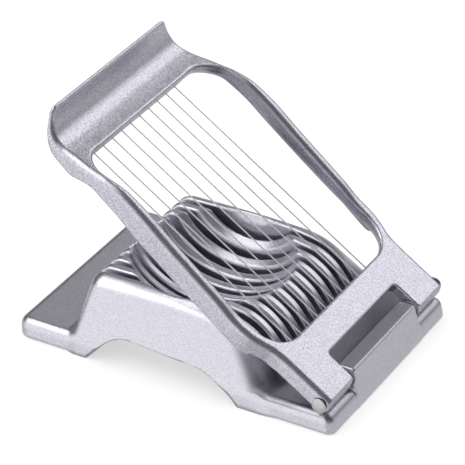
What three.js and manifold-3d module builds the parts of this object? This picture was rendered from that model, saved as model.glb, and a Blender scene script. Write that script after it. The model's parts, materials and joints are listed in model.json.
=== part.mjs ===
// Egg slicer in die-cast aluminium. The base is a ribbed cradle between two foot plates, and a frame strung
// with ten wires swings on two pins at the base's rear end. Closing it draws the wires down between the ribs.
// Millimetres, +Z up. The origin is on the table under the middle of the base, and +X points to the hinge.
import * as THREE from "three";
import { ConvexGeometry } from "three/addons/geometries/ConvexGeometry.js";
import { mergeVertices } from "three/addons/utils/BufferGeometryUtils.js";
import Module from "manifold-3d";

const wasm = await Module();
wasm.setup();

// Wires and slots
const WIRE_COUNT = 10;
const WIRE_PITCH = 5.8;
const WIRE_RADIUS = 0.25;
const SLOT_WIDTH = 2.5;
const GAP = 0.3; // clearance between pieces that touch

// Base
const BASE_LENGTH = 122.7;
const BASE_WIDTH = 83.7;
const BASE_CORNER = 4;
const PLATE_TOP = 7.5;
const RIM = 4; // width of the rim that each foot stands on
const FOOT_RECESS = 4; // depth of the recess inside the rim
const REAR_DRAFT = 0.186; // how far the face behind the hinge leans in, per millimetre of height
const ARCH_HANDLE_FOOT = -33.5; // where the arch leaves the table, at the handle end
const ARCH_HINGE_FOOT = 25;

// Cradle: a block with drafted sides, from the plates up
const CRADLE_HANDLE_END = -40.4;
const CRADLE_HINGE_END = 38.2;
const HANDLE_END_DRAFT = 0.165; // how far each face leans in, per millimetre of height
const HINGE_END_DRAFT = 0.78;
const SIDE_DRAFT = 0.508;
const HANDLE_END_CORNER = 3;
const HINGE_END_CORNER = 8;
const CRADLE_BLOCK_HEIGHT = 24; // before its top is cut to the crown
const RIB_BOTTOM = 5;
const WALL = 3.6;
const WEB = 3; // between the outermost slot and the hollow in each side wall
const EGG_HOLLOW = { x: -7, z: 33.2, length: 59, width: 60.6, height: 44 };

// Hinge
const HINGE_X = 56.1;
const HINGE_Z = 11.24;
const PIN_RADIUS = 1.75;
const PIN_HEAD_RADIUS = 2.5;
const PIN_HEAD_HEIGHT = 1.1;
const PIN_INNER_END = 10;
const BLOCK_TOP = 14.6;
const BLOCK_HALF_WIDTH = 22.4; // at the top
const BLOCK_FOOT_HALF_WIDTH = 23.4;
const WASHER_RADIUS = 3.4;
const WASHER_THICKNESS = 1;

// Cutting frame, measured along its own length from the hinge axis (s), across (y) and square to it (n)
const REST_ANGLE = 33.8; // degrees open
const ARM_TOP = 3.45;
const ARM_HALF_THICKNESS = 3.5;
const ARM_OUTER = 41.2;
const ARM_INNER = 24;
const NOTCH_DEPTH = 9.8;
const RAIL_OUTER = 44.9;
const WINDOW = { near: 20.8, far: 111, halfWidth: 40, nearCorner: 12, farCorner: 11 };
const TIP = 130.2;
const WIRE_LEVEL = -2.3;
const ANCHOR_CEILING = -0.6;
const HINGE_ANCHOR = { from: 4.2, to: 15.2, halfWidth: 37.4 };
const HANDLE_ANCHOR = { from: 114.6, to: 118.2, halfWidth: 29.5 };
const FERRULE_RADIUS = 1.1;
const FERRULE_LENGTH = 2.7;
const FERRULE_DEPTH = 2.3; // of the blind hole that the wire's end sits in

const cast = { color: 0xbcbbc6, metalness: 0.85, roughness: 0.4 };
const steel = { color: 0xd6d7da, metalness: 1, roughness: 0.2 };
const polymer = { color: 0xd9d9d6, metalness: 0, roughness: 0.5 };

const acrossWidth = new THREE.Matrix4().makeBasis(
  new THREE.Vector3(1, 0, 0),
  new THREE.Vector3(0, 0, 1),
  new THREE.Vector3(0, -1, 0),
);
const alongLength = new THREE.Matrix4().makeBasis(
  new THREE.Vector3(0, 1, 0),
  new THREE.Vector3(0, 0, 1),
  new THREE.Vector3(1, 0, 0),
);
const upwards = new THREE.Matrix4();

// A closed three.js geometry as a solid that can be joined and cut.
function solid(geometry) {
  const bare = geometry.clone();
  bare.deleteAttribute("normal");
  bare.deleteAttribute("uv");
  const merged = mergeVertices(bare, 1e-4);
  const corners = merged.index.array;
  const kept = [];
  for (let i = 0; i < corners.length; i += 3) {
    const [a, b, c] = corners.slice(i, i + 3);
    if (a !== b && b !== c && c !== a) kept.push(a, b, c);
  }
  const vertProperties = merged.attributes.position.array;
  return new wasm.Manifold(new wasm.Mesh({ numProp: 3, vertProperties, triVerts: new Uint32Array(kept) }));
}

function join(solids) {
  return solids.reduce((whole, next) => whole.add(next));
}

// An outline swept from one place to another, along the direction that the matrix turns it to.
function prism(outline, from, to, direction) {
  const options = { depth: to - from, bevelEnabled: false, curveSegments: 6 };
  const geometry = new THREE.ExtrudeGeometry(outline, options);
  return solid(geometry.translate(0, 0, from).applyMatrix4(direction));
}

function polygon(points) {
  return new THREE.Shape(points.map(([x, y]) => new THREE.Vector2(x, y)));
}

function box(x0, x1, y0, y1, z0, z1) {
  const geometry = new THREE.BoxGeometry(x1 - x0, y1 - y0, z1 - z0);
  return solid(geometry.translate((x0 + x1) / 2, (y0 + y1) / 2, (z0 + z1) / 2));
}

// A cylinder lying across the width, or along the length.
function crossBar(radius, y0, y1, x, z, sides) {
  const geometry = new THREE.CylinderGeometry(radius, radius, y1 - y0, sides);
  return solid(geometry.translate(x, (y0 + y1) / 2, z));
}

function longBar(radius, x0, x1, y, z, sides) {
  const geometry = new THREE.CylinderGeometry(radius, radius, x1 - x0, sides);
  return solid(geometry.rotateZ(Math.PI / 2).translate((x0 + x1) / 2, y, z));
}

// A rectangle whose two corners at the low x end and two at the high x end each have their own radius.
function roundedRectangle(x0, x1, halfWidth, lowCorner, highCorner) {
  const s = new THREE.Shape();
  s.absarc(x1 - highCorner, halfWidth - highCorner, highCorner, 0, Math.PI / 2);
  s.absarc(x0 + lowCorner, halfWidth - lowCorner, lowCorner, Math.PI / 2, Math.PI);
  s.absarc(x0 + lowCorner, lowCorner - halfWidth, lowCorner, Math.PI, 1.5 * Math.PI);
  s.absarc(x1 - highCorner, highCorner - halfWidth, highCorner, 1.5 * Math.PI, 2 * Math.PI);
  return s;
}

// The cradle's outer block: two outlines, at the plates and above the top, and the drafted faces between.
function cradleBlock(grow) {
  const points = [];
  for (const z of [PLATE_TOP, PLATE_TOP + CRADLE_BLOCK_HEIGHT]) {
    const rise = z - PLATE_TOP;
    const outline = roundedRectangle(
      CRADLE_HANDLE_END + rise * HANDLE_END_DRAFT - grow,
      CRADLE_HINGE_END - rise * HINGE_END_DRAFT + grow,
      BASE_WIDTH / 2 - rise * SIDE_DRAFT + grow,
      HANDLE_END_CORNER,
      HINGE_END_CORNER,
    );
    for (const p of outline.getPoints(5)) points.push(new THREE.Vector3(p.x, p.y, z));
  }
  return solid(new ConvexGeometry(points));
}

function wirePlace(k) {
  return (k - (WIRE_COUNT - 1) / 2) * WIRE_PITCH;
}

// Where the face behind the hinge is at a height, along the base.
function rearAt(z) {
  return BASE_LENGTH / 2 - REAR_DRAFT * z;
}

function baseCasting() {
  const half = BASE_LENGTH / 2;
  const behind = polygon([
    [rearAt(-1), -1],
    [half + 2, -1],
    [half + 2, PLATE_TOP + 1],
    [rearAt(PLATE_TOP + 1), PLATE_TOP + 1],
  ]);
  const plates = prism(
    roundedRectangle(-half, half, BASE_WIDTH / 2, BASE_CORNER, BASE_CORNER),
    0,
    PLATE_TOP,
    upwards,
  ).subtract(prism(behind, -60, 60, acrossWidth));

  // The cradle's top is a long gentle crown that falls away to the hinge end.
  const above = new THREE.Shape();
  above.moveTo(-50, 60);
  above.lineTo(-50, 26.4);
  above.splineThru([
    new THREE.Vector2(-30, 27.2),
    new THREE.Vector2(-10, 27.7),
    new THREE.Vector2(6, 27.2),
    new THREE.Vector2(18, 25.7),
    new THREE.Vector2(32, 22),
  ]);
  above.lineTo(50, 60);
  const cradle = cradleBlock(0).subtract(prism(above, -60, 60, acrossWidth));

  // The arch through the base, from side to side.
  const arch = new THREE.Shape();
  arch.moveTo(ARCH_HANDLE_FOOT - 1, -1);
  arch.lineTo(-26, 8.2);
  arch.quadraticCurveTo(-23.8, 10.8, -19, 10.9);
  arch.lineTo(12, 9.3);
  arch.quadraticCurveTo(18.5, 9, 20.8, 6.2);
  arch.lineTo(ARCH_HINGE_FOOT + 0.6, -1);
  const open = plates.add(cradle).subtract(prism(arch, -60, 60, acrossWidth));

  // The ribs hang lower than the side walls.
  const ribDepth = polygon([
    [-36, 3],
    [-31, 3],
    [-27, RIB_BOTTOM],
    [18, RIB_BOTTOM],
    [22, 3],
    [27, 3],
    [27, 12],
    [-36, 12],
  ]);
  const ribsHalfWidth = wirePlace(WIRE_COUNT - 1) - SLOT_WIDTH / 2;
  const withRibs = open.add(prism(ribDepth, -ribsHalfWidth, ribsHalfWidth, acrossWidth));

  const hollow = new THREE.SphereGeometry(0.5, 40, 26);
  hollow.rotateX(Math.PI / 2);
  hollow.scale(EGG_HOLLOW.length, EGG_HOLLOW.width, EGG_HOLLOW.height);
  hollow.translate(EGG_HOLLOW.x, 0, EGG_HOLLOW.z);
  let casting = withRibs.subtract(solid(hollow));

  for (let k = 0; k < WIRE_COUNT; k++) {
    const y0 = wirePlace(k) - SLOT_WIDTH / 2;
    const y1 = wirePlace(k) + SLOT_WIDTH / 2;
    casting = casting.subtract(box(-45, 45, y0, y1, PLATE_TOP, 40));
    casting = casting.subtract(box(ARCH_HANDLE_FOOT, ARCH_HINGE_FOOT, y0, y1, -1, 10));
  }

  // Each side wall is cored out from below, and each foot is recessed inside its rim.
  const web = wirePlace(WIRE_COUNT - 1) + SLOT_WIDTH / 2 + WEB;
  const coreFoot = BASE_WIDTH / 2 - WALL;
  for (const side of [-1, 1]) {
    const core = polygon([
      [side * web, -1],
      [side * coreFoot, -1],
      [side * coreFoot, PLATE_TOP],
      [side * web, PLATE_TOP + (coreFoot - web) / SIDE_DRAFT],
    ]);
    casting = casting.subtract(prism(core, -31, 20, alongLength));
  }
  const inner = BASE_WIDTH / 2 - RIM;
  casting = casting
    .subtract(box(RIM - half, ARCH_HANDLE_FOOT - RIM, -inner, inner, -1, FOOT_RECESS))
    .subtract(box(ARCH_HINGE_FOOT + RIM, half - RIM, -inner, inner, -1, FOOT_RECESS));

  return casting.add(hingeBlock());
}

// The knuckle block that the pins are driven into, between the frame's arms.
function hingeBlock() {
  const side = new THREE.Shape();
  side.moveTo(51.4, PLATE_TOP - 1);
  side.lineTo(52.2, BLOCK_TOP - 1.2);
  side.quadraticCurveTo(52.4, BLOCK_TOP, 53.4, BLOCK_TOP);
  side.lineTo(57.6, BLOCK_TOP);
  side.quadraticCurveTo(58.5, BLOCK_TOP, 58.8, BLOCK_TOP - 0.9);
  side.lineTo(rearAt(PLATE_TOP - 1) - 0.05, PLATE_TOP - 1);
  const end = polygon([
    [-BLOCK_FOOT_HALF_WIDTH, PLATE_TOP - 1],
    [BLOCK_FOOT_HALF_WIDTH, PLATE_TOP - 1],
    [BLOCK_HALF_WIDTH, BLOCK_TOP + 1],
    [-BLOCK_HALF_WIDTH, BLOCK_TOP + 1],
  ]);
  const block = prism(side, -30, 30, acrossWidth).intersect(prism(end, 50, 62, alongLength));

  // Each side has a blind bore for its pin, and a spot face that the washer sits on.
  const seat = ARM_INNER - WASHER_THICKNESS - 2 * GAP;
  const bores = [
    crossBar(PIN_RADIUS + GAP, -30, -PIN_INNER_END + GAP, HINGE_X, HINGE_Z, 24),
    crossBar(PIN_RADIUS + GAP, PIN_INNER_END - GAP, 30, HINGE_X, HINGE_Z, 24),
    crossBar(WASHER_RADIUS + GAP, -30, -seat, HINGE_X, HINGE_Z, 24),
    crossBar(WASHER_RADIUS + GAP, seat, 30, HINGE_X, HINGE_Z, 24),
  ];
  return block.subtract(join(bores));
}

// The frame is made closed and lying along -X from the hinge axis: a point at s, n has x = -s and z = n.
function frameSideOutline() {
  const at = (s, n) => new THREE.Vector2(-s, n);
  const side = new THREE.Shape();
  side.moveTo(2.4, ARM_TOP);
  side.lineTo(-36, ARM_TOP);
  side.splineThru([at(43, 4.4), at(57, 6.1), at(71, 7.7), at(84, 9.4), at(92, 9.8), at(100, 8.4), at(106, 6.3)]);
  side.splineThru([at(112, 4.25), at(116, 2.9), at(120, 2.1), at(123, 2.5), at(126, 4.4), at(128, 6.7)]);
  side.lineTo(-TIP + 1, 9.7);
  side.lineTo(-TIP, 8.7);
  side.lineTo(-TIP, 7.6);
  side.splineThru([at(128, 3.8), at(125.5, 0.6), at(122.5, -2.3), at(118.5, -3.6), at(113, -3.3)]);
  side.splineThru([at(108, -1.6), at(101, 0.4), at(93, 0.7), at(80, -0.6), at(42, -4.2), at(31, -4.8)]);
  side.splineThru([at(26, -4.7), at(21, -3.7), at(17, -ARM_HALF_THICKNESS)]);
  side.absarc(0, 0, ARM_HALF_THICKNESS, -Math.PI / 2, 0);
  return side;
}

function framePlanOutline() {
  const edge = [
    [17, ARM_OUTER],
    [22, 41.6],
    [27, 43.3],
    [32, 44.6],
    [37, RAIL_OUTER],
    [78, RAIL_OUTER],
    [95, 44.2],
    [102, 43.5],
    [108, 42.4],
    [114, 41],
    [120, 39.9],
    [125, 38.9],
    [128, 37.6],
    [TIP, 36.2],
  ];
  const oneSide = edge.map(([s, w]) => [-s, w]);
  const otherSide = edge.map(([s, w]) => [-s, -w]).reverse();
  return polygon([[5, ARM_OUTER], ...oneSide, ...otherSide, [5, -ARM_OUTER]]);
}

function cuttingFrame() {
  let casting = prism(frameSideOutline(), -50, 50, acrossWidth);
  casting = casting.intersect(prism(framePlanOutline(), -10, 15, upwards));

  const window = roundedRectangle(
    -WINDOW.far,
    -WINDOW.near,
    WINDOW.halfWidth,
    WINDOW.farCorner,
    WINDOW.nearCorner,
  );
  casting = casting
    .subtract(prism(window, -10, 15, upwards))
    .subtract(box(-NOTCH_DEPTH, 10, -ARM_INNER, ARM_INNER, -10, 15));

  // The closed frame clears the cradle and rests just above the plates.
  const half = BASE_LENGTH / 2 + GAP;
  const wide = BASE_WIDTH / 2 + GAP;
  const closedBase = cradleBlock(2 * GAP).add(box(-half, half, -wide, wide, -1, PLATE_TOP + GAP / 2));
  casting = casting.subtract(closedBase.translate([-HINGE_X, 0, -HINGE_Z]));

  // Troughs under both ends take the ferrules, and a hole for each wire leads in from the window.
  for (const trough of [HINGE_ANCHOR, HANDLE_ANCHOR]) {
    casting = casting.subtract(
      box(-trough.to, -trough.from, -trough.halfWidth, trough.halfWidth, -10, ANCHOR_CEILING),
    );
  }
  for (let k = 0; k < WIRE_COUNT; k++) {
    const y = wirePlace(k);
    const hole = WIRE_RADIUS + GAP;
    casting = casting
      .subtract(longBar(hole, -WINDOW.near - 1, -HINGE_ANCHOR.to + 1, y, WIRE_LEVEL, 8))
      .subtract(longBar(hole, -HANDLE_ANCHOR.from - 1, -WINDOW.far + 3, y, WIRE_LEVEL, 8));
  }

  return casting.subtract(crossBar(PIN_RADIUS + GAP, -50, 50, 0, 0, 24));
}

// A domed pin, driven through an arm and into the block from the outside.
function hingePin(side) {
  const outer = ARM_OUTER + GAP;
  const profile = [new THREE.Vector2(0, PIN_INNER_END), new THREE.Vector2(PIN_RADIUS - 0.4, PIN_INNER_END)];
  profile.push(new THREE.Vector2(PIN_RADIUS, PIN_INNER_END + 0.4));
  profile.push(new THREE.Vector2(PIN_RADIUS, outer));
  for (let step = 0; step <= 4; step++) {
    const turn = (step / 4) * (Math.PI / 2);
    const radius = PIN_HEAD_RADIUS * Math.cos(turn);
    profile.push(new THREE.Vector2(Math.max(radius, 0), outer + PIN_HEAD_HEIGHT * Math.sin(turn)));
  }
  profile[profile.length - 1].x = 0;
  const pin = new THREE.LatheGeometry(profile, 24);
  if (side < 0) pin.rotateX(Math.PI);
  return solid(pin.translate(HINGE_X, 0, HINGE_Z));
}

function hingeWasher(side) {
  const middle = side * (ARM_INNER - GAP - WASHER_THICKNESS / 2);
  const [y0, y1] = [middle - WASHER_THICKNESS / 2, middle + WASHER_THICKNESS / 2];
  const disc = crossBar(WASHER_RADIUS, y0, y1, HINGE_X, HINGE_Z, 24);
  return disc.subtract(crossBar(PIN_RADIUS + GAP, y0 - 1, y1 + 1, HINGE_X, HINGE_Z, 24));
}

// A crimped sleeve with a blind hole; its mouth faces the window and bears on the trough's wall.
function ferrule(mouth, inward) {
  const bore = WIRE_RADIUS + GAP;
  const profile = [
    [0, FERRULE_LENGTH - FERRULE_DEPTH],
    [bore, FERRULE_LENGTH - FERRULE_DEPTH],
    [bore, FERRULE_LENGTH],
    [FERRULE_RADIUS, FERRULE_LENGTH],
    [FERRULE_RADIUS, 0],
    [0, 0],
  ];
  const points = profile.reverse().map(([r, h]) => new THREE.Vector2(r, h - FERRULE_LENGTH));
  const sleeve = new THREE.LatheGeometry(points, 10).rotateZ((inward * Math.PI) / 2);
  return (y) => solid(sleeve.clone().translate(mouth, y, WIRE_LEVEL));
}

function piece(name, shape, finish) {
  const mesh = shape.getMesh();
  const geometry = new THREE.BufferGeometry();
  geometry.setAttribute("position", new THREE.BufferAttribute(new Float32Array(mesh.vertProperties), 3));
  geometry.setIndex(new THREE.BufferAttribute(new Uint32Array(mesh.triVerts), 1));
  geometry.computeVertexNormals();
  const made = new THREE.Mesh(geometry, new THREE.MeshStandardMaterial(finish));
  made.name = name;
  return made;
}

const slicer = new THREE.Group();
slicer.add(piece("base_casting", baseCasting(), cast));
for (const [name, side] of [["left", -1], ["right", 1]]) {
  slicer.add(piece(`hinge_pin_${name}`, hingePin(side), steel));
  slicer.add(piece(`hinge_washer_${name}`, hingeWasher(side), polymer));
}

const frame = new THREE.Group();
frame.position.set(HINGE_X, 0, HINGE_Z);
frame.rotation.y = THREE.MathUtils.degToRad(REST_ANGLE);
frame.add(piece("cutting_frame", cuttingFrame(), cast));

const hingeMouth = -(HINGE_ANCHOR.to - GAP);
const handleMouth = -(HANDLE_ANCHOR.from + GAP);
const hingeFerrule = ferrule(hingeMouth, 1);
const handleFerrule = ferrule(handleMouth, -1);
const wireFrom = handleMouth - FERRULE_DEPTH + GAP;
const wireTo = hingeMouth + FERRULE_DEPTH - GAP;
for (let k = 0; k < WIRE_COUNT; k++) {
  const number = String(k + 1).padStart(2, "0");
  const y = wirePlace(k);
  frame.add(piece(`cutting_wire_${number}`, longBar(WIRE_RADIUS, wireFrom, wireTo, y, WIRE_LEVEL, 8), steel));
  frame.add(piece(`hinge_end_ferrule_${number}`, hingeFerrule(y), steel));
  frame.add(piece(`handle_end_ferrule_${number}`, handleFerrule(y), steel));
}
slicer.add(frame);

export default slicer;
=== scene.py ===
import json
import math

import bpy
import numpy as np
from mathutils import Matrix, Vector


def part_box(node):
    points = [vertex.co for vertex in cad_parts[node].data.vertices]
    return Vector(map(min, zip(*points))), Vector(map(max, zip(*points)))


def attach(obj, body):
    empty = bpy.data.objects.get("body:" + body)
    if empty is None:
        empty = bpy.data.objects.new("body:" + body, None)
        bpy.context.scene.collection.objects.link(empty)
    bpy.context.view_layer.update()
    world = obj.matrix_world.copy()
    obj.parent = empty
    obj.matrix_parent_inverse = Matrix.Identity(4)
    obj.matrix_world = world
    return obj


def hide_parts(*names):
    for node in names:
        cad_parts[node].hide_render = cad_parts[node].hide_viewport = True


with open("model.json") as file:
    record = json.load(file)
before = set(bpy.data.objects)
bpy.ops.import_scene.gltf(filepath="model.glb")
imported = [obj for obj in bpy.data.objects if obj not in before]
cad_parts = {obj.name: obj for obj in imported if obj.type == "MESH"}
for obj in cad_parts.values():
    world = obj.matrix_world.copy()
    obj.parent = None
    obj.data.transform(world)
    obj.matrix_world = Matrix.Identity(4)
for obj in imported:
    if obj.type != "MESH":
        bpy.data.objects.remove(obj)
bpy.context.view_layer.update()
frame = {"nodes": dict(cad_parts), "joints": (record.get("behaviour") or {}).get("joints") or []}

MM = 0.001
SIDES = {"left": -1, "right": 1}


# ---------------------------------------------------------------- places that come from the frame

def node_box(name):
    low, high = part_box(name)
    return np.array(low) / MM, np.array(high) / MM


HINGE = frame["joints"][0]
HINGE_X, _, HINGE_Z = (value / MM for value in HINGE["pos_m"])
# The frame is open by this much at rest, and closed at the joint's low limit.
REST_ANGLE = -math.radians(HINGE["range_deg"][0])

WIRES = sorted(name for name in frame["nodes"] if name.startswith("cutting_wire"))
WIRE_Y = [float(sum(box[1] for box in node_box(name)) / 2) for name in WIRES]
WIRE_RADIUS = float(node_box(WIRES[0])[1][1] - node_box(WIRES[0])[0][1]) / 2

BASE_LOW, BASE_HIGH = node_box("base_casting")
BASE_HALF_LENGTH = float(BASE_HIGH[0])
BASE_HALF_WIDTH = float(BASE_HIGH[1])


# The cutting frame has its own coordinates: along it from the hinge axis, across it, and square to it.
HINGE_AT = np.array([HINGE_X, 0, HINGE_Z])
FRAME_AXES = np.array([
    [-math.cos(REST_ANGLE), 0, math.sin(REST_ANGLE)],
    [0, 1, 0],
    [math.sin(REST_ANGLE), 0, math.cos(REST_ANGLE)],
])


def from_frame(points):
    return HINGE_AT + points @ FRAME_AXES


def to_frame(points):
    return (points - HINGE_AT) @ FRAME_AXES.T


def turn_from_frame(directions):
    return directions @ FRAME_AXES


# ---------------------------------------------------------------- fields: distances in mm, negative inside

def both(a, b, radius):
    """The space inside both fields, with the edge between them rounded."""
    u = np.maximum(a + radius, 0)
    v = np.maximum(b + radius, 0)
    return np.minimum(np.maximum(a, b), -radius) + np.sqrt(u * u + v * v)


def either(a, b, radius):
    """The space inside either field, with a fillet between them."""
    return -both(-a, -b, radius)


def without(a, b, radius):
    """The space inside the first field and outside the second, with a rounded rim."""
    return both(a, -b, radius)


def line_side(x, z, start, end):
    """Distance from the line through two points, positive on its left."""
    dx, dz = end[0] - start[0], end[1] - start[1]
    return ((z - start[1]) * dx - (x - start[0]) * dz) / math.hypot(dx, dz)


def rounded_plan(x, y, half_length, half_width, corner):
    """Distance from a rectangle with round corners."""
    qx = np.abs(x) - half_length + corner
    qy = np.abs(y) - half_width + corner
    outside = np.sqrt(np.maximum(qx, 0) ** 2 + np.maximum(qy, 0) ** 2)
    return outside + np.minimum(np.maximum(qx, qy), 0) - corner


def block(x, y, z, low, high, corner):
    """A box with its edges rounded."""
    sides = [np.abs(v - (start + end) / 2) - (end - start) / 2 for v, start, end in zip((x, y, z), low, high)]
    return both(both(sides[0], sides[1], corner), sides[2], corner)


def smooth_curve(points):
    """A smooth line through a few points, level at its peaks. The result gives its height and its slope."""
    at, height = np.array(points, float).T
    steps = np.diff(height) / np.diff(at)
    before, after = np.append(steps[0], steps), np.append(steps, steps[-1])
    turning = before * after <= 0
    slope = np.where(turning, 0, 2 * before * after / np.where(turning, 1, before + after))

    def curve(x):
        k = np.clip(np.searchsorted(at, x) - 1, 0, len(at) - 2)
        step = at[k + 1] - at[k]
        t = np.clip((x - at[k]) / step, 0, 1)
        rise = height[k + 1] - height[k]
        a = slope[k] * step - rise
        b = rise - slope[k + 1] * step
        value = height[k] + rise * t + t * (1 - t) * (a * (1 - t) + b * t)
        gradient = rise + (1 - 2 * t) * (a * (1 - t) + b * t) + t * (1 - t) * (b - a)
        return value, gradient / step

    return curve


def beyond(value, curve, x):
    """Distance past a curve's height, measured square to the curve."""
    height, slope = curve(x)
    return (value - height) / np.sqrt(1 + slope * slope)


# ---------------------------------------------------------------- the base casting

PLATE_TOP = 7.5
PLATE_TOP_EDGE = 3.2
FOOT_EDGE = 1.5
HANDLE_FOOT_CORNER = 4.5
HINGE_FOOT_CORNER = 3
REAR_DRAFT = 0.186

CRADLE_HANDLE_END = -40.4
CRADLE_HINGE_END = 38.2
HANDLE_END_DRAFT = 0.165
HINGE_END_DRAFT = 0.78
SIDE_DRAFT = 0.508
HANDLE_END_CORNER = 4.5
HINGE_END_CORNER = 9.5
CROWN = smooth_curve([(-50, 26.4), (-30, 27.2), (-10, 27.7), (6, 27.2), (18, 25.7), (32, 22), (45, 17)])
CROWN_EDGE = 3.8
CRADLE_FOOT_EDGE = 0.7
CRADLE_FILLET = 2

EGG_HOLLOW_AT = (-7, 0, 33.2)
EGG_HOLLOW_RADII = (29.5, 30.3, 22)
HOLLOW_RIM = 1
SLOT_HALF_WIDTH = 1.25
SLOT_RIM = 0.9
LOW_SLOT_TOP = PLATE_TOP + 1.5  # the slots go right through below this height, between the arch's feet
LOW_SLOT_RIM = 0.3

ARCH_HANDLE_FOOT = -33.5
ARCH_HINGE_FOOT = 25
ARCH_HANDLE_SIDE = ((ARCH_HANDLE_FOOT, 0), (-26, 8.2))
ARCH_TOP = ((-19, 10.9), (12, 9.3))
ARCH_HINGE_SIDE = ((20.8, 6.2), (ARCH_HINGE_FOOT, 0))
ARCH_HANDLE_CORNER = 4
ARCH_HINGE_CORNER = 8
ARCH_RIM = 0.7
RIBS_LOW = (-31, -24.85, 5)
RIBS_HIGH = (22, 24.85, 16)
RIBS_EDGE = 0.5

BLOCK_TOP = 14.6
BLOCK_FRONT = ((51.4, PLATE_TOP - 1), (52.2, BLOCK_TOP - 1))
BLOCK_HALF_WIDTH = 22.4
BLOCK_SIDE_DRAFT = 0.125
BLOCK_SIDE_SCALE = 0.992  # makes what is past the drafted side a distance, nearly enough
BLOCK_TOP_EDGE = 0.9
BLOCK_FRONT_EDGE = 0.4
BLOCK_SIDE_EDGE = 0.8
BLOCK_FILLET = 0.5

FOOT_RECESSES = ((-46.425, 10), (43.1, 14.2))  # each one's middle and half length
RECESS_WALL = 4
RECESS_DEPTH = 4
RECESS_CORNER = 1
RECESS_RIM = 0.5


def drafted(value, at_plate, draft, z):
    """Distance past a face that stands at a place on the plate and leans in as it rises."""
    return (value - at_plate + draft * (z - PLATE_TOP)) / math.hypot(1, draft)


def cradle_walls(x, y, z, grow):
    """The cradle's four drafted faces, grown outwards."""
    side = drafted(np.abs(y), BASE_HALF_WIDTH, SIDE_DRAFT, z)
    side = np.maximum(side, np.abs(y) - BASE_HALF_WIDTH)
    hinge_end = drafted(x, CRADLE_HINGE_END, HINGE_END_DRAFT, z)
    handle_end = drafted(-x, -CRADLE_HANDLE_END, HANDLE_END_DRAFT, z)
    walls = both(side, hinge_end, HINGE_END_CORNER)
    return both(walls, handle_end, HANDLE_END_CORNER) - grow


def ellipsoid(x, y, z, middle, radii):
    """Near its surface, the distance from an ellipsoid."""
    scaled = [(value - m) / r for value, m, r in zip((x, y, z), middle, radii)]
    size = np.sqrt(sum(v * v for v in scaled))
    steepness = np.sqrt(sum((v / r) ** 2 for v, r in zip(scaled, radii)))
    return size * (size - 1) / np.maximum(steepness, 1e-6)


def arch(x, z):
    """The opening under the cradle, from side to side."""
    top = line_side(x, z, *ARCH_TOP)
    handle_side = line_side(x, z, *ARCH_HANDLE_SIDE)
    hinge_side = line_side(x, z, *ARCH_HINGE_SIDE)
    return both(both(top, handle_side, ARCH_HANDLE_CORNER), hinge_side, ARCH_HINGE_CORNER)


def across_to_wire(y):
    """Distance across to the nearest wire's plane."""
    nearest = np.full(np.shape(y), 1e3)
    for middle in WIRE_Y:
        nearest = np.minimum(nearest, np.abs(y - middle))
    return nearest


def rear_face(x, z):
    """Distance past the face behind the hinge, which leans in as it rises from the foot."""
    return (x - BASE_HALF_LENGTH + REAR_DRAFT * z) / math.hypot(1, REAR_DRAFT)


def hinge_block(x, y, z):
    top = z - BLOCK_TOP
    front = line_side(x, z, *BLOCK_FRONT)
    side = (np.abs(y) - BLOCK_HALF_WIDTH - BLOCK_SIDE_DRAFT * (BLOCK_TOP - z)) * BLOCK_SIDE_SCALE
    field = both(both(top, rear_face(x, z), BLOCK_TOP_EDGE), front, BLOCK_FRONT_EDGE)
    return both(both(field, side, BLOCK_SIDE_EDGE), -z, FOOT_EDGE)


def foot_plates(x, y, z):
    corner = np.where(x < 0, HANDLE_FOOT_CORNER, HINGE_FOOT_CORNER)
    sides = np.abs(y) - BASE_HALF_WIDTH + 0 * x
    ends = np.maximum(-x - BASE_HALF_LENGTH + 0 * z, rear_face(x, z))
    plan = both(sides, ends, corner)
    return both(both(plan, z - PLATE_TOP, PLATE_TOP_EDGE), -z, FOOT_EDGE)


def cradle(x, y, z, slot):
    field = both(cradle_walls(x, y, z, 0), beyond(z, CROWN, x), CROWN_EDGE)
    field = both(field, -z, CRADLE_FOOT_EDGE)
    field = without(field, ellipsoid(x, y, z, EGG_HOLLOW_AT, EGG_HOLLOW_RADII), HOLLOW_RIM)
    return without(field, slot, SLOT_RIM)


def base_field(x, y, z):
    slot = across_to_wire(y) - SLOT_HALF_WIDTH
    casting = either(foot_plates(x, y, z), cradle(x, y, z, slot), CRADLE_FILLET)
    casting = either(casting, hinge_block(x, y, z), BLOCK_FILLET)

    ribs = block(x, y, z, RIBS_LOW, RIBS_HIGH, RIBS_EDGE)
    casting = without(casting, np.maximum(arch(x, z), -ribs), ARCH_RIM)
    between_feet = np.maximum(ARCH_HANDLE_FOOT - x, x - ARCH_HINGE_FOOT)
    low_slot = np.maximum(slot, np.maximum(between_feet, z - LOW_SLOT_TOP))
    casting = without(casting, low_slot, LOW_SLOT_RIM)

    across = BASE_HALF_WIDTH - RECESS_WALL
    for middle, half in FOOT_RECESSES:
        low, high = (middle - half, -across, -RECESS_DEPTH), (middle + half, across, RECESS_DEPTH)
        casting = without(casting, block(x, y, z, low, high, RECESS_CORNER), RECESS_RIM)
    return casting


# ------------------------------------------------- the cutting frame, along s, across y, square to it n

ARM_HALF_THICKNESS = 3.5
ARM_END_LEAN = 0.3
ARM_END_SCALE = 0.96  # makes what is past the leaning end a distance, nearly enough
ARM_END_EDGE = 3.3
ARM_INNER = 24
NOTCH_DEPTH = 9.8
NOTCH_CORNER = 1.6
ARM_CORNER = 2
NOTCH_RIM = 0.7
PIN_HOLE_RADIUS = 2.05
PIN_HOLE_RIM = 0.3

WINDOW_NEAR = 20.8
WINDOW_FAR = 111
WINDOW_HALF_WIDTH = 40
WINDOW_NEAR_CORNER = 12.0
WINDOW_FAR_CORNER = 11.0
WINDOW_RIM = 1
MORE_RIM_ON_RAILS = 0.9

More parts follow.
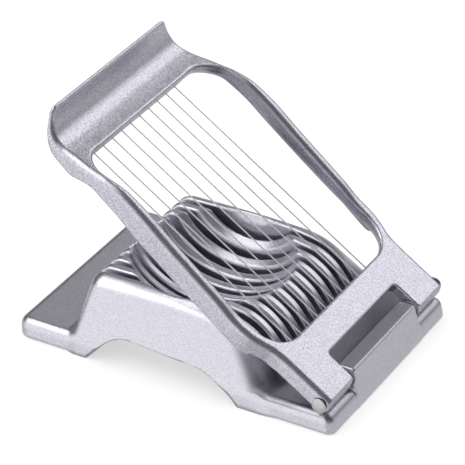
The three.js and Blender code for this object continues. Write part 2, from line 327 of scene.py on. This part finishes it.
FRAME_TOP = smooth_curve([
    (-10, 3.45), (30, 3.45), (37, 3.5), (47, 5.0), (57, 6.1), (71, 7.7), (84, 9.4), (92, 9.8), (100, 8.4),
    (106, 6.3), (112, 4.25), (116, 2.9), (119, 2.2), (121, 2.1), (122.5, 2.35), (124, 2.95), (126, 4.4),
    (128, 6.7), (129.5, 9.2), (132, 14.5),
])
FRAME_UNDERSIDE = smooth_curve([
    (-10, -3.5), (16, -3.5), (21, -4.2), (26, -4.8), (31, -4.9), (42, -4.2), (60, -2.6), (80, -0.6),
    (93, 0.7), (101, 0.4), (108, -1.6), (113, -3.3), (118.5, -3.6), (122.5, -2.2), (125.5, 0.4),
    (128, 3.2), (130, 5.9), (132, 9.2),
])
FRAME_HALF_WIDTH = smooth_curve([
    (-10, 41.2), (17, 41.2), (22, 41.6), (27, 43.3), (32, 44.6), (37, 44.9), (78, 44.9), (95, 44.2),
    (108, 42.4), (114, 41), (120, 39.9), (125, 38.9), (128, 37.5), (130, 36.2), (132, 34.5),
])
FRAME_EDGE = 2.4
UNDERSIDE_EDGE = 1
RAIL_LEAN = 0.6  # how fast a rail's underside rises towards the window
RAIL_LEAN_REACH = 5
RAIL_ALONG = (30, 12)  # where the rails' own shape begins, and how far it takes to come in
RAIL_ACROSS = (28, 5)

TIP = 130.1
TIP_HEIGHT = 9.4
TIP_TILT = math.radians(25)
TIP_ROUNDING = 2.0

WIRE_LEVEL = -2.3
WIRE_HOLE_RADIUS = 0.55
WIRE_HOLES_AT = (18, 112)
WIRE_HOLE_HALF_LENGTH = 4.5
TROUGHS = ((4.2, 15.2, 37.4), (114.6, 118.2, 29.5))  # each one's start, end and half width
TROUGH_OPENING = -12
TROUGH_CEILING = -0.6
TROUGH_CORNER = 0.6
TROUGH_RIM = 0.4

CLEARANCE = 0.6
PLATE_CLEARANCE = 0.2
CLEARANCE_FILLET = 2.4
CLEARANCE_EDGE = 1.2


def closed_base(s, y, n):
    """What the closed frame has to clear: the cradle and the plates, with the frame lying level."""
    x, z = HINGE_X - s, HINGE_Z + n
    plates = np.maximum(z - PLATE_TOP - PLATE_CLEARANCE, np.abs(y) - BASE_HALF_WIDTH - CLEARANCE)
    return either(cradle_walls(x, y, z, CLEARANCE), plates, CLEARANCE_FILLET)


def ramp(value, start, length):
    """Nought up to a start, and one from a length past it."""
    return np.clip((value - start) / length, 0, 1)


def frame_outside(s, y, n, inner_side, on_rail, arm_end):
    """The frame's outer faces: top, sides, underside, hinge end and tip."""
    casting = both(beyond(n, FRAME_TOP, s), beyond(np.abs(y), FRAME_HALF_WIDTH, s), FRAME_EDGE)
    lift = RAIL_LEAN * on_rail * np.clip(RAIL_LEAN_REACH - inner_side, 0, RAIL_LEAN_REACH)
    under = -beyond(n - lift, FRAME_UNDERSIDE, s) / math.hypot(1, RAIL_LEAN)
    casting = both(casting, both(under, arm_end, ARM_END_EDGE), UNDERSIDE_EDGE)
    tip_face = (s - TIP) * math.cos(TIP_TILT) + (n - TIP_HEIGHT) * math.sin(TIP_TILT)
    return both(casting, tip_face, TIP_ROUNDING)


def frame_field(s, y, n):
    wide = np.abs(y)
    middle, half = (WINDOW_NEAR + WINDOW_FAR) / 2, (WINDOW_FAR - WINDOW_NEAR) / 2
    corner = np.where(s < middle, WINDOW_NEAR_CORNER, WINDOW_FAR_CORNER)
    inner_side = rounded_plan(s - middle, y, half, WINDOW_HALF_WIDTH, corner)
    on_rail = ramp(s, *RAIL_ALONG) * ramp(wide, *RAIL_ACROSS)
    arm_end = (-s - ARM_HALF_THICKNESS + ARM_END_LEAN * np.maximum(n, 0)) * ARM_END_SCALE

    casting = frame_outside(s, y, n, inner_side, on_rail, arm_end)
    casting = without(casting, inner_side, WINDOW_RIM + MORE_RIM_ON_RAILS * on_rail)
    notch = both(s - NOTCH_DEPTH, wide - ARM_INNER, NOTCH_CORNER)
    casting = both(casting, both(arm_end, -notch, ARM_CORNER), NOTCH_RIM)
    casting = without(casting, closed_base(s, y, n), CLEARANCE_EDGE)

    for near, far, across in TROUGHS:
        low, high = (near, -across, TROUGH_OPENING), (far, across, TROUGH_CEILING)
        casting = without(casting, block(s, y, n, low, high, TROUGH_CORNER), TROUGH_RIM)
    from_wire = np.sqrt(across_to_wire(y) ** 2 + (n - WIRE_LEVEL) ** 2)
    from_hole = np.minimum(*(np.abs(s - hole) for hole in WIRE_HOLES_AT)) - WIRE_HOLE_HALF_LENGTH
    casting = np.maximum(casting, -np.maximum(from_wire - WIRE_HOLE_RADIUS, from_hole))
    return without(casting, np.sqrt(s * s + n * n) - PIN_HOLE_RADIUS, PIN_HOLE_RIM)


# ---------------------------------------------------------------- a mesh from a field

SLAB = 16  # grid layers worked out together
SETTLE_ROUNDS = 3
SETTLE_MOVES = 2
SETTLE_REACH = 0.02  # how far apart the gradient is measured, and the longest move, in grid steps
LONGEST_MOVE = 0.6
EVENING = 0.5  # how far a point goes towards its neighbours' middle in each round
LEAST_STEEPNESS = 0.05
MOST_TRIANGLES = 190_000
NORMAL_REACH = 0.15


def grid_axis(low, high, step):
    count = math.ceil((high - low) / step) + 3
    return (low + high) / 2 + (np.arange(count) - (count - 1) / 2) * step


def at_corner(array, corner):
    """The grid's values at one corner of every cell."""
    return array[tuple(slice(o, n - 1 + o) for o, n in zip(corner, array.shape))]


def surface_nets(field, low, high, step):
    """Points and four-sided faces round the field's zero surface: one point in each cell that it crosses."""
    axes = [grid_axis(a, b, step) for a, b in zip(low, high)]
    shape = tuple(len(axis) for axis in axes)
    values = np.empty(shape, np.float32)
    for start in range(0, shape[0], SLAB):
        x = axes[0][start : start + SLAB, None, None]
        values[start : start + SLAB] = field(x, axes[1][None, :, None], axes[2][None, None, :])
    inside = values < 0

    corners = [(i, j, k) for i in (0, 1) for j in (0, 1) for k in (0, 1)]
    count = sum(at_corner(inside, c).astype(np.int8) for c in corners)
    cells = np.argwhere((count > 0) & (count < 8))
    number = np.full(tuple(n - 1 for n in shape), -1, np.int64)
    number[tuple(cells.T)] = np.arange(len(cells))

    points = np.zeros((len(cells), 3))
    crossings = np.zeros(len(cells))
    for c in corners:
        for axis in range(3):
            if c[axis]:
                continue
            other = tuple(1 if a == axis else o for a, o in enumerate(c))
            v0 = values[tuple((cells + c).T)]
            v1 = values[tuple((cells + other).T)]
            crossed = (v0 < 0) != (v1 < 0)
            t = np.where(crossed, v0 / np.where(crossed, v0 - v1, 1), 0)
            at = cells + c + t[:, None] * np.eye(3)[axis]
            points += np.where(crossed[:, None], at, 0)
            crossings += crossed
    points /= crossings[:, None]
    origin = np.array([axis[0] for axis in axes])
    points = origin + points * step

    faces = []
    for axis in range(3):
        a, b = [other for other in range(3) if other != axis]
        if axis == 1:
            a, b = b, a
        lower = [slice(1, n - 1) for n in shape]
        upper = list(lower)
        lower[axis], upper[axis] = slice(0, shape[axis] - 1), slice(1, shape[axis])
        here, there = inside[tuple(lower)], inside[tuple(upper)]
        for leaving in (True, False):
            edges = np.argwhere((here != there) & (here == leaving))
            edges += [0 if k == axis else 1 for k in range(3)]
            around = []
            for da, db in ((0, 0), (1, 0), (1, 1), (0, 1)):
                cell = edges.copy()
                cell[:, a] -= 1 - da
                cell[:, b] -= 1 - db
                around.append(number[tuple(cell.T)])
            quads = np.stack(around, 1)
            faces.append(quads if leaving else quads[:, ::-1])
    return points, np.concatenate(faces)


def settle(points, faces, field, step):
    """Moves each point onto the field's surface, and evens the points out along it."""
    reach = step * SETTLE_REACH
    pairs = np.concatenate([faces[:, [k, (k + 1) % 4]] for k in range(4)])
    neighbours = np.bincount(pairs.ravel(), minlength=len(points))

    for turn in range(SETTLE_ROUNDS):
        if turn:
            total = np.zeros_like(points)
            for axis in range(3):
                total[:, axis] = np.bincount(
                    pairs.ravel(), points[pairs[:, ::-1].ravel(), axis], minlength=len(points)
                )
            points = points + EVENING * (total / neighbours[:, None] - points)
        for _ in range(SETTLE_MOVES):
            slope = slope_of(field, points, reach)
            steep = np.maximum((slope ** 2).sum(1), LEAST_STEEPNESS)
            move = -(field(*points.T) / steep)[:, None] * slope
            length = np.linalg.norm(move, axis=1)
            limit = np.minimum(1, LONGEST_MOVE * step / np.maximum(length, 1e-9))
            points = points + move * limit[:, None]
    return points


def mesh_object(name, points, *face_sets):
    """A smooth-shaded object from points in millimetres and sets of triangles or quads."""
    mesh = bpy.data.meshes.new(name)
    mesh.vertices.add(len(points))
    mesh.vertices.foreach_set("co", (points * MM).astype(np.float32).ravel())
    corners = np.concatenate([faces.ravel() for faces in face_sets])
    mesh.loops.add(len(corners))
    mesh.loops.foreach_set("vertex_index", corners.astype(np.int32))
    sides = np.concatenate([np.full(len(faces), faces.shape[1]) for faces in face_sets])
    mesh.polygons.add(len(sides))
    mesh.polygons.foreach_set("loop_start", (np.cumsum(sides) - sides).astype(np.int32))
    mesh.update(calc_edges=True)
    mesh.validate()
    mesh.shade_smooth()
    made = bpy.data.objects.new(name, mesh)
    bpy.context.scene.collection.objects.link(made)
    return made


def slope_of(field, points, reach):
    """The field's gradient at each point."""
    parts = []
    for axis in range(3):
        shift = np.eye(3)[axis] * reach
        ahead, behind = points + shift, points - shift
        parts.append((field(*ahead.T) - field(*behind.T)) / (2 * reach))
    return np.stack(parts, 1)


def level(points):
    return points


def cast_piece(name, node, field, low, high, step, place=None, unplace=level, turn=level):
    """A casting's mesh, fine all over, thinned where it is flat, kept inside its CAD node's box, and shaded
    by its field's own gradient. place and unplace take points from the field's coordinates to the part's
    frame and back, and turn takes directions."""
    points, faces = surface_nets(field, low, high, step)
    points = settle(points, faces, field, step)
    if place:
        points = place(points)
        faces = faces[:, ::-1]
    made = mesh_object(name, points, faces)
    share = MOST_TRIANGLES / (2 * len(faces))
    if share < 1:
        thin = made.modifiers.new("thin", "DECIMATE")
        thin.ratio = share
        bpy.context.view_layer.objects.active = made
        bpy.ops.object.modifier_apply(modifier="thin")
        made.data.shade_smooth()
    kept = np.empty(3 * len(made.data.vertices), np.float32)
    made.data.vertices.foreach_get("co", kept)
    kept = np.clip(kept.reshape(-1, 3) / MM, *node_box(node))
    made.data.vertices.foreach_set("co", (kept * MM).astype(np.float32).ravel())
    facing = turn(slope_of(field, unplace(kept), NORMAL_REACH))
    facing /= np.maximum(np.linalg.norm(facing, axis=1), 1e-6)[:, None]
    made.data.normals_split_custom_set_from_vertices(facing)
    return made


# ---------------------------------------------------------------- turned pieces

def arc(middle, radius, start, stop, steps):
    """Points on a circle, from one angle to another in degrees."""
    turns = np.radians(np.linspace(start, stop, steps + 1))
    return [(middle[0] + radius * math.cos(t), middle[1] + radius * math.sin(t)) for t in turns]


def turned(name, profile, segments, place, shape=None):
    """A piece turned from a profile of (radius, height) points, which ends on the axis or closes on itself.
    shape may change the radius round the piece, and place takes it to the part's frame."""
    profile = np.array(profile, float)
    closed = profile[0, 0] > 0 and profile[-1, 0] > 0
    rings = profile if closed else profile[1:-1]
    turn = np.arange(segments) * 2 * math.pi / segments
    radius = rings[:, 0][:, None] * np.ones(segments)
    height = rings[:, 1][:, None] * np.ones(segments)
    if shape:
        radius = radius * shape(height, turn)
    points = np.stack([radius * np.cos(turn), radius * np.sin(turn), height], 2).reshape(-1, 3)
    count = len(rings)
    k = np.arange(segments)
    ahead = (k + 1) % segments
    quads = []
    for ring in range(count if closed else count - 1):
        a, b = ring * segments, (ring + 1) % count * segments
        quads.append(np.stack([a + k, a + ahead, b + ahead, b + k], 1))
    face_sets = [np.concatenate(quads)]
    if not closed:
        first, last = len(points), len(points) + 1
        points = np.vstack([points, (0, 0, profile[0, 1]), (0, 0, profile[-1, 1])])
        end = (count - 1) * segments
        face_sets.append(np.stack([ahead, k, np.full(segments, first)], 1))
        face_sets.append(np.stack([end + k, end + ahead, np.full(segments, last)], 1))
    return mesh_object(name, place(points), *face_sets)


def across_hinge(side):
    """Puts a turned piece on the hinge axis, with its heights going outwards on that side."""
    def place(p):
        return np.stack([HINGE_X + p[:, 0], side * p[:, 2], HINGE_Z + side * p[:, 1]], 1)
    return place


def along_frame(y):
    """Puts a turned piece on a wire's line, with its heights going from the hinge towards the handle."""
    def place(p):
        return from_frame(np.stack([p[:, 2], y + p[:, 1], WIRE_LEVEL + p[:, 0]], 1))
    return place


# ---------------------------------------------------------------- materials

class Nodes:
    """A short way to write a node tree."""

    def __init__(self, tree):
        self.tree = tree

    def add(self, kind, inputs=None, **settings):
        node = self.tree.nodes.new("ShaderNode" + kind)
        for key, value in settings.items():
            setattr(node, key, value)
        for key, value in (inputs or {}).items():
            if isinstance(value, bpy.types.NodeSocket):
                self.tree.links.new(value, node.inputs[key])
            else:
                node.inputs[key].default_value = value
        return node

    def math(self, operation, a, b=0.0, c=0.0):
        return self.add("Math", {0: a, 1: b, 2: c}, operation=operation).outputs[0]

    def span(self, value, low, high, out_low, out_high):
        inputs = {"Value": value, "From Min": low, "From Max": high, "To Min": out_low, "To Max": out_high}
        return self.add("MapRange", inputs, interpolation_type="SMOOTHSTEP").outputs["Result"]


def new_material(name, color, metallic, roughness):
    material = bpy.data.materials.new(name)
    material.use_nodes = True
    shader = material.node_tree.nodes["Principled BSDF"]
    shader.inputs["Base Color"].default_value = (*color, 1)
    shader.inputs["Metallic"].default_value = metallic
    shader.inputs["Roughness"].default_value = roughness
    return material, Nodes(material.node_tree), shader


FLAKE_SIZE = 0.15 * MM
MOTTLE_SIZE = 2.5 * MM
NOISE_SPAN = (0.3, 0.7)  # most of what a noise texture gives
CAST_ROUGHNESS = (0.28, 0.31)
CAST_MOTTLE = (0.99, 1.01)
BASE_TINT = (0.78, 0.772, 0.842)
BASE_FLAKES = (-0.22, 0.2)  # the darkest and the lightest flake, against the tint
BASE_FLAKE_LEAN = 0.14
FRAME_TINT = (0.755, 0.746, 0.84)
FRAME_FLAKES = (-0.5, 0.28)
FRAME_FLAKE_LEAN = 0.24

# Where painted shade darkens the castings, in metres from the part's origin, and by how much.
SHADED_PLATE_STARTS = (0.028, 0.034)
SHADED_PLATE_EASES = (0.044, 0.05)
PLATE_PAINTED_SHADE = (0.55, 0.4)
FACES_UP = (0.5, 0.62)
WALL_REACH = (-0.036, -0.022)
WALL_ALONG = (-0.03, 0.02)
WALL_PAINTED_SHADE = (0.58, 0.22)


def painted_shade_behind_cradle(n, place, normal):
    """Painted shade on the top of the plate behind the cradle, which the frame and hinge bar above it shade.
    """
    along = n.add("SeparateXYZ", {0: place}).outputs["X"]
    upright = n.add("SeparateXYZ", {0: normal}).outputs["Z"]
    amount = n.math("MULTIPLY", n.span(along, *SHADED_PLATE_STARTS, 0, 1), n.span(upright, *FACES_UP, 0, 1))
    amount = n.math("MULTIPLY", amount, n.span(along, *SHADED_PLATE_EASES, *PLATE_PAINTED_SHADE))
    return n.math("SUBTRACT", 1, amount)


def painted_shade_inside_window(n, place, normal):
    """Painted shade on the rails' inner walls, which reflect the shaded floor and base: darker than the other
    faces, most of all towards the handle.
    """
    place_parts = n.add("SeparateXYZ", {0: place})
    across = n.math("MULTIPLY", place_parts.outputs["Y"], n.add("SeparateXYZ", {0: normal}).outputs["Y"])
    depth = n.span(place_parts.outputs["X"], *WALL_ALONG, *WALL_PAINTED_SHADE)
    amount = n.math("MULTIPLY", n.span(across, *WALL_REACH, 1, 0), depth)
    return n.math("SUBTRACT", 1, amount)


def cast_aluminium(name, tint, flake_tones, lean_by, paint_shade):
    """Silver-lacquered casting: metal flakes that each lean their own way, over a faint mottle."""
    material, n, shader = new_material(name, tint, 1.0, CAST_ROUGHNESS[1])
    place = n.add("TexCoord").outputs["Object"]
    flakes = n.add("TexVoronoi", {"Vector": place, "Scale": 1 / FLAKE_SIZE}, feature="F1")
    mottle = n.add("TexNoise", {"Vector": place, "Scale": 1 / MOTTLE_SIZE, "Detail": 3.0})

    lean = n.add("VectorMath", {0: flakes.outputs["Color"], 1: (0.5, 0.5, 0.5)}, operation="SUBTRACT")
    lean = n.add("VectorMath", {0: lean.outputs[0], "Scale": lean_by}, operation="SCALE")
    normal = n.add("NewGeometry").outputs["Normal"]
    tilted = n.add("VectorMath", {0: normal, 1: lean.outputs[0]}, operation="ADD")
    tilted = n.add("VectorMath", {0: tilted.outputs[0]}, operation="NORMALIZE")
    n.tree.links.new(tilted.outputs[0], shader.inputs["Normal"])

    flake_light = n.add("SeparateColor", {"Color": flakes.outputs["Color"]}).outputs[0]
    faint = n.span(mottle.outputs[0], *NOISE_SPAN, *CAST_MOTTLE)
    tone = n.math("ADD", n.span(flake_light, 0, 1, *flake_tones), faint)
    # Painted shade: the tone is darkened by the part's shade mask, standing in for shade from the parts
    # around it.
    tone = n.math("MULTIPLY", tone, paint_shade(n, place, normal))
    color = n.add("VectorMath", {0: tint, "Scale": tone}, operation="SCALE")
    n.tree.links.new(color.outputs[0], shader.inputs["Base Color"])
    rough = n.span(mottle.outputs[0], *NOISE_SPAN, *CAST_ROUGHNESS)
    n.tree.links.new(rough, shader.inputs["Roughness"])
    return material


def bright_steel(name, color, roughness, grain_scale):
    """Bare metal with a fine grain in its tone and its roughness."""
    material, n, shader = new_material(name, color, 1.0, roughness)
    place = n.add("TexCoord").outputs["Object"]
    grain = n.add("TexNoise", {"Vector": place, "Scale": grain_scale, "Detail": 4.0}).outputs[0]
    rough = n.span(grain, *NOISE_SPAN, roughness - 0.05, roughness + 0.08)
    n.tree.links.new(rough, shader.inputs["Roughness"])
    tone = n.span(grain, *NOISE_SPAN, 0.92, 1.03)
    shade = n.add("VectorMath", {0: color, "Scale": tone}, operation="SCALE")
    n.tree.links.new(shade.outputs[0], shader.inputs["Base Color"])
    return material


def moulded_polymer(name, color, roughness, grain_scale):
    """A dull moulded plastic with a fine tooled grain."""
    material, n, shader = new_material(name, color, 0.0, roughness)
    place = n.add("TexCoord").outputs["Object"]
    grain = n.add("TexNoise", {"Vector": place, "Scale": grain_scale, "Detail": 4.0}).outputs[0]
    tone = n.span(grain, *NOISE_SPAN, 0.75, 1.2)
    shade = n.add("VectorMath", {0: color, "Scale": tone}, operation="SCALE")
    n.tree.links.new(shade.outputs[0], shader.inputs["Base Color"])
    rough = n.span(grain, *NOISE_SPAN, roughness - 0.06, roughness + 0.1)
    n.tree.links.new(rough, shader.inputs["Roughness"])
    bump = n.add("Bump", {"Height": grain, "Strength": 0.3, "Distance": 0.02 * MM})
    n.tree.links.new(bump.outputs[0], shader.inputs["Normal"])
    return material


base_aluminium = cast_aluminium("base_aluminium", BASE_TINT, BASE_FLAKES, BASE_FLAKE_LEAN, painted_shade_behind_cradle)
frame_aluminium = cast_aluminium("frame_aluminium", FRAME_TINT, FRAME_FLAKES, FRAME_FLAKE_LEAN, painted_shade_inside_window)
wire_steel = bright_steel("wire_steel", (0.95, 0.95, 0.95), 0.3, 3000)
pin_steel = bright_steel("pin_steel", (0.68, 0.68, 0.68), 0.3, 1800)
ferrule_metal = bright_steel("ferrule_metal", (0.62, 0.61, 0.6), 0.35, 1500)
washer_polymer = moulded_polymer("washer_polymer", (0.14, 0.14, 0.145), 0.45, 2500)


def finish_piece(piece, material, body, node):
    """Gives a piece its material, puts it on the body it rides on, and hides the CAD node that it stands for.
    """
    piece.data.materials.append(material)
    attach(piece, body)
    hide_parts(node)


# ---------------------------------------------------------------- the castings

BASE_STEP = 0.55
FRAME_STEP = 0.5
FRAME_LOW = (-4, -45, -5.5)
FRAME_HIGH = (TIP + 3, 45, 12)

base = cast_piece("base", "base_casting", base_field, BASE_LOW, BASE_HIGH, BASE_STEP)
finish_piece(base, base_aluminium, "base", "base_casting")

cutter = cast_piece(
    "frame", "cutting_frame", frame_field, FRAME_LOW, FRAME_HIGH, FRAME_STEP,
    from_frame, to_frame, turn_from_frame,
)
finish_piece(cutter, frame_aluminium, "frame", "cutting_frame")


# ---------------------------------------------------------------- the hinge pins and washers

SHANK_RADIUS = 1.75
HEAD_RADIUS = 2.7
HEAD_THICKNESS = 0.8
HEAD_EDGE = 0.3
DOME_FULLNESS = 0.8
DOME_STEPS = 10
WASHER_EDGE = 0.22
HINGE_SEGMENTS = 48


def hinge_pin(inner, outer):
    """A driven pin: a chamfered shank, and a low domed head that stands just off the arm."""
    head_from = outer - HEAD_THICKNESS
    profile = [(0, inner), (SHANK_RADIUS - 0.5, inner), (SHANK_RADIUS - 0.35, inner + 0.06)]
    profile += [(SHANK_RADIUS, inner + 0.4), (SHANK_RADIUS, inner + 0.6)]
    profile += [(SHANK_RADIUS, head_from - 0.15), (SHANK_RADIUS + 0.15, head_from)]
    profile += arc((HEAD_RADIUS - HEAD_EDGE, head_from + HEAD_EDGE), HEAD_EDGE, -90, 0, 4)
    for k in range(1, DOME_STEPS):
        turn = math.radians(90 / DOME_STEPS * k)
        rise = (HEAD_THICKNESS - HEAD_EDGE) * math.sin(turn)
        profile.append((HEAD_RADIUS * math.cos(turn) ** DOME_FULLNESS, head_from + HEAD_EDGE + rise))
    return profile + [(0, outer)]


def washer_profile(radius, hole, low, high):
    """A flat ring, with its four edges rounded."""
    out, near, floor, top = radius - WASHER_EDGE, hole + WASHER_EDGE, low + WASHER_EDGE, high - WASHER_EDGE
    corners = [((out, floor), -90), ((out, top), 0), ((near, top), 90), ((near, floor), 180)]
    return [point for middle, start in corners for point in arc(middle, WASHER_EDGE, start, start + 90, 4)]


def span_across(low, high):
    """A node's nearest and farthest reach from the middle plane."""
    return sorted(abs(value) for value in (low[1], high[1]))


for label, side in SIDES.items():
    node = f"hinge_pin_{label}"
    profile = hinge_pin(*span_across(*node_box(node)))
    pin = turned(f"pin_{label}", profile, HINGE_SEGMENTS, across_hinge(side))
    finish_piece(pin, pin_steel, "base", node)

    node = f"hinge_washer_{label}"
    low, high = node_box(node)
    profile = washer_profile(float(high[2] - low[2]) / 2, PIN_HOLE_RADIUS, *span_across(low, high))
    washer = turned(f"washer_{label}", profile, HINGE_SEGMENTS, across_hinge(side))
    finish_piece(washer, washer_polymer, "base", node)


# ---------------------------------------------------------------- the wires and their ferrules

HINGE_MOUTH = 14.9
HANDLE_MOUTH = 114.9
FERRULE_RADIUS = 1.1
FERRULE_LENGTH = 2.7
FERRULE_DEPTH = 2.3
FERRULE_EDGE = 0.18
FERRULE_CLEARANCE = 0.3  # round the wire, and past its end
FERRULE_SEGMENTS = 24
CRIMP_SHARES = (0.3, 0.4, 0.5, 0.6, 0.7)  # the rings of a ferrule that the crimp can dent
CRIMP_DEPTH = 0.16
CRIMP_REACH = 0.55
WIRE_END_EDGE = 0.12
WIRE_END_SHARE = 0.6
WIRE_RINGS = 24
WIRE_RINGS_FROM_END = 5
WIRE_SEGMENTS = 16


def crimped(height, turn):
    """The dent that the crimping tool leaves in each side of a ferrule."""
    middle = np.exp(-((height - np.mean(height)) / CRIMP_REACH) ** 2)
    return 1 - CRIMP_DEPTH * middle * np.cos(turn) ** 2


def ferrule_profile(mouth, toward):
    """A sleeve from its mouth to its closed end, with a hole for the wire."""
    end = mouth + toward * FERRULE_LENGTH
    floor = mouth + toward * FERRULE_DEPTH
    hole, edge = WIRE_RADIUS + FERRULE_CLEARANCE, FERRULE_EDGE
    profile = [(0, floor), (hole, floor), (hole, mouth + toward * edge), (hole + edge, mouth)]
    profile += [(FERRULE_RADIUS - edge, mouth), (FERRULE_RADIUS, mouth + toward * edge)]
    profile += [(FERRULE_RADIUS, mouth + toward * share * FERRULE_LENGTH) for share in CRIMP_SHARES]
    profile += [(FERRULE_RADIUS, end - toward * edge), (FERRULE_RADIUS - edge, end), (0, end)]
    return profile[::-1] if toward > 0 else profile


def wire_profile():
    """A straight wire that ends inside its two ferrules, with its ends chamfered."""
    start = HINGE_MOUTH - FERRULE_DEPTH + FERRULE_CLEARANCE
    stop = HANDLE_MOUTH + FERRULE_DEPTH - FERRULE_CLEARANCE
    end_radius = WIRE_RADIUS * WIRE_END_SHARE
    rings = np.linspace(start + WIRE_RINGS_FROM_END, stop - WIRE_RINGS_FROM_END, WIRE_RINGS)
    profile = [(0, start), (end_radius, start), (WIRE_RADIUS, start + WIRE_END_EDGE)]
    profile += [(WIRE_RADIUS, height) for height in rings]
    return profile + [(WIRE_RADIUS, stop - WIRE_END_EDGE), (end_radius, stop), (0, stop)]


FERRULE_ENDS = (("hinge_end", HINGE_MOUTH, -1), ("handle_end", HANDLE_MOUTH, 1))

for number, (name, y) in enumerate(zip(WIRES, WIRE_Y), 1):
    wire = turned(f"wire_{number:02d}", wire_profile(), WIRE_SEGMENTS, along_frame(y))
    finish_piece(wire, wire_steel, "frame", name)
    for end_name, mouth, toward in FERRULE_ENDS:
        sleeve_name = f"{end_name}_sleeve_{number:02d}"
        profile = ferrule_profile(mouth, toward)
        sleeve = turned(sleeve_name, profile, FERRULE_SEGMENTS, along_frame(y), crimped)
        finish_piece(sleeve, ferrule_metal, "frame", f"{end_name}_ferrule_{number:02d}")


# ---------------------------------------------------------------- floor, light and camera

VIEW_AZIMUTH = math.radians(29.774715)
VIEW_ELEVATION = math.radians(31.811813)
VIEW_ROLL = math.radians(-0.236609)
VIEW_DISTANCE = 1.01613659
VIEW_OFFSET = (-0.0001, 0.03207118)
LENS = 228.06343
SENSOR_WIDTH = 36


def place_camera():
    """The camera, moved aside by VIEW_OFFSET from the line through the origin, and rolled slightly."""
    back = Vector((
        math.sin(VIEW_AZIMUTH) * math.cos(VIEW_ELEVATION),
        -math.cos(VIEW_AZIMUTH) * math.cos(VIEW_ELEVATION),
        math.sin(VIEW_ELEVATION),
    ))
    level = Vector((math.cos(VIEW_AZIMUTH), math.sin(VIEW_AZIMUTH), 0))
    upright = back.cross(level)
    right = math.cos(VIEW_ROLL) * level + math.sin(VIEW_ROLL) * upright
    up = -math.sin(VIEW_ROLL) * level + math.cos(VIEW_ROLL) * upright
    camera = bpy.data.objects.new("camera", bpy.data.cameras.new("camera"))
    bpy.context.scene.collection.objects.link(camera)
    turn = Matrix((right, up, back)).transposed().to_4x4()
    spot = back * VIEW_DISTANCE + right * VIEW_OFFSET[0] + up * VIEW_OFFSET[1]
    camera.matrix_world = Matrix.Translation(spot) @ turn
    camera.data.lens = LENS
    camera.data.sensor_width = SENSOR_WIDTH
    camera.data.clip_start = 0.05
    camera.data.clip_end = 50
    bpy.context.scene.camera = camera


ROOM = 1.0
DIM_ROOM = 0.13
GROUND = 0.55
GROUND_FROM, GROUND_FULL = 0.12, -0.16  # the heights in the sky between which the ground comes in
SKY_TINT = (0.985, 0.985, 1.0, 1)
SOFT_BOXES = [  # the direction, the angles in degrees of its full part and its edge, and the strength
    ((0.30, 0.74, 0.60), 9, 31, 1.3),
    ((0.66, 0.74, 0.10), 12, 30, 0.44),
    ((-0.22, 0.78, 0.58), 5, 31, 0.42),
    ((-0.42, -0.30, 0.86), 10, 36, 2.0),
    ((-0.45, -0.89, 0.05), 34, 58, 0.95),
]
FLOOR_HALF_SIZE = 6
FLOOR_GREY = 0.45
FLOOR_GLOW = 0.57
SHADE_GREY = 0.2
SHADE_HEIGHT = 0.0001
SHADE_REACH = (0.97, 0.95)  # the part of the base's length and width that has dim ground under it
KEY_STRENGTH = 0.9
KEY_ANGLE = math.radians(60)
KEY_FROM = (-0.38, -0.3, 0.87)


def sky():
    """Soft boxes as smooth patches of light in a dim room, over a pale ground, for the metal to reflect.
    Everything else is lit evenly."""
    world = bpy.data.worlds.new("studio")
    world.use_nodes = True
    bpy.context.scene.world = world
    n = Nodes(world.node_tree)
    glossy = n.add("LightPath").outputs["Is Glossy Ray"]
    direction = n.add("TexCoord").outputs["Generated"]
    height = n.add("SeparateXYZ", {0: direction}).outputs["Z"]
    light = n.span(height, GROUND_FROM, GROUND_FULL, DIM_ROOM, GROUND)
    for toward, inner, outer, strength in SOFT_BOXES:
        unit = Vector(toward).normalized()
        across = n.add("VectorMath", {0: direction, 1: unit}, operation="DOT_PRODUCT").outputs["Value"]
        low, high = math.cos(math.radians(outer)), math.cos(math.radians(inner))
        light = n.math("MAXIMUM", light, n.span(across, low, high, 0, strength))
    shader = world.node_tree.nodes["Background"]
    mixed = n.math("MULTIPLY_ADD", glossy, n.math("SUBTRACT", light, ROOM), ROOM)
    n.tree.links.new(mixed, shader.inputs["Strength"])
    shader.inputs["Color"].default_value = SKY_TINT


def sheet(name, half_x, half_y, height, grey):
    """A flat staging rectangle round the origin."""
    corners = [(-half_x, -half_y), (half_x, -half_y), (half_x, half_y), (-half_x, half_y)]
    mesh = bpy.data.meshes.new(name)
    mesh.from_pydata([(x, y, height) for x, y in corners], [], [(0, 1, 2, 3)])
    made = bpy.data.objects.new(name, mesh)
    bpy.context.scene.collection.objects.link(made)
    material, _, shader = new_material(name, (grey, grey, grey), 0.0, 0.9)
    mesh.materials.append(material)
    return made, shader


def floor_and_key():
    """A pale floor, the ground's shade under the object, and a very broad light from above."""
    floor, shader = sheet("floor", FLOOR_HALF_SIZE, FLOOR_HALF_SIZE, 0, FLOOR_GREY)
    shader.inputs["Emission Color"].default_value = (1, 1, 1, 1)
    shader.inputs["Emission Strength"].default_value = FLOOR_GLOW
    floor.visible_glossy = False

    # A dark sheet of painted shadow right under the object, which only its own metal sees.
    half_x, half_y = BASE_HALF_LENGTH * MM * SHADE_REACH[0], BASE_HALF_WIDTH * MM * SHADE_REACH[1]
    shade, _ = sheet("under_shade", half_x, half_y, SHADE_HEIGHT, SHADE_GREY)
    shade.visible_camera = False
    shade.visible_diffuse = False
    shade.visible_shadow = False

    key = bpy.data.objects.new("key", bpy.data.lights.new("key", "SUN"))
    bpy.context.scene.collection.objects.link(key)
    key.data.energy = KEY_STRENGTH
    key.visible_glossy = False
    key.data.angle = KEY_ANGLE
    key.rotation_mode = "QUATERNION"
    key.rotation_quaternion = Vector(KEY_FROM).to_track_quat("Z", "Y")


place_camera()
sky()
floor_and_key()
bpy.context.scene.view_settings.view_transform = "Standard"
